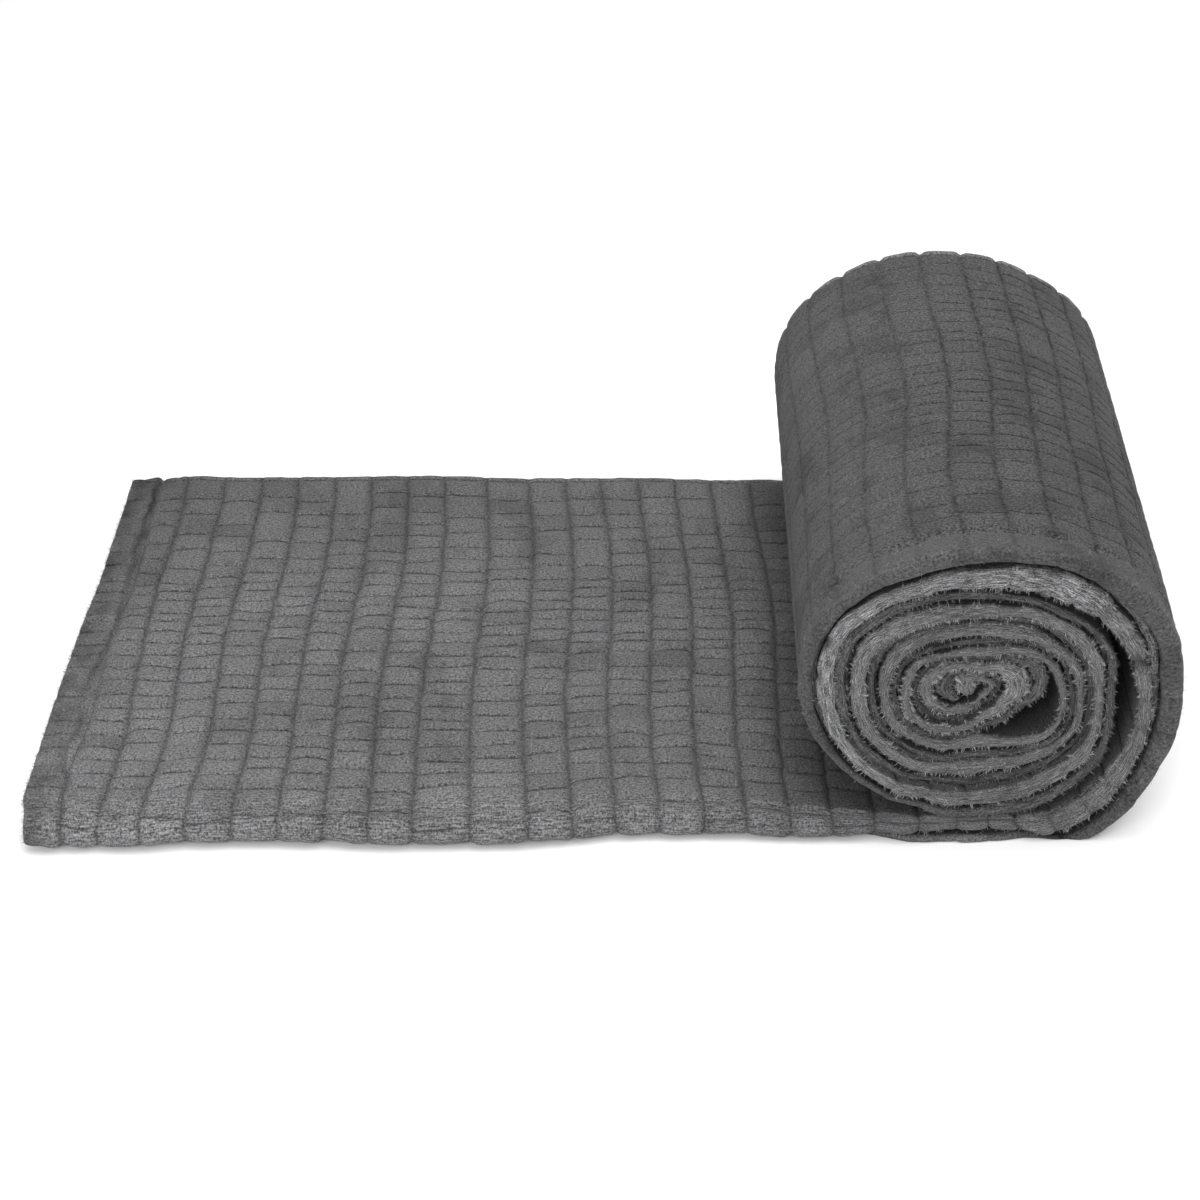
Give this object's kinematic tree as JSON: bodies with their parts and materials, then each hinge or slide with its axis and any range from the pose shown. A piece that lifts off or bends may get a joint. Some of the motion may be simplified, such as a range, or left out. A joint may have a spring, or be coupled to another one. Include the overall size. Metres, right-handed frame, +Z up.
{
  "type": "folded throw blanket",
  "caption": "Plush throw blanket folded lengthwise into a long strip and rolled up from one end, with a flat tail that folds back.",
  "frame": {"origin": "centre of the bounding box on the surface that the blanket rests on", "axes": "+X along the flat part towards the roll, +Y across the folded width towards the back folds, +Z up"},
  "size_m": [0.5954, 0.325, 0.1825],
  "materials": {
    "plush": "cut-pile flannel fleece carved in brick-shaped cells, mid grey",
    "hem": "the same pile cloth turned over and puckered along its stitches",
    "thread": "matt polyester sewing thread in the cloth's grey"
  },
  "bodies": {
    "roll": {"run_layer_1": "plush", "run_layer_2": "plush", "run_layer_3": "plush", "run_layer_4": "plush", "run_front_fold": "plush", "run_back_fold_inner": "plush", "run_back_fold_outer": "plush", "run_side_hems": "hem", "run_side_seams": "thread", "roll_layer_1": "plush", "roll_layer_2": "plush", "roll_layer_3": "plush", "roll_layer_4": "plush", "roll_front_fold": "plush", "roll_back_fold_inner": "plush", "roll_back_fold_outer": "plush", "roll_side_hems": "hem", "roll_side_seams": "thread", "core_end_hem": "hem", "core_end_seam": "thread"},
    "tail": {"tail_layer_1": "plush", "tail_layer_2": "plush", "tail_layer_3": "plush", "tail_layer_4": "plush", "tail_front_fold": "plush", "tail_back_fold_inner": "plush", "tail_back_fold_outer": "plush", "tail_side_hems": "hem", "tail_side_seams": "thread", "tail_end_hem": "hem", "tail_end_seam": "thread"}
  },
  "joints": [
    {"name": "tail_fold", "type": "hinge", "parent": "roll", "child": "tail", "pos_m": [-0.1097, 0, 0.0205], "axis": [0, 1, 0], "range_deg": [0, 175]}
  ]
}
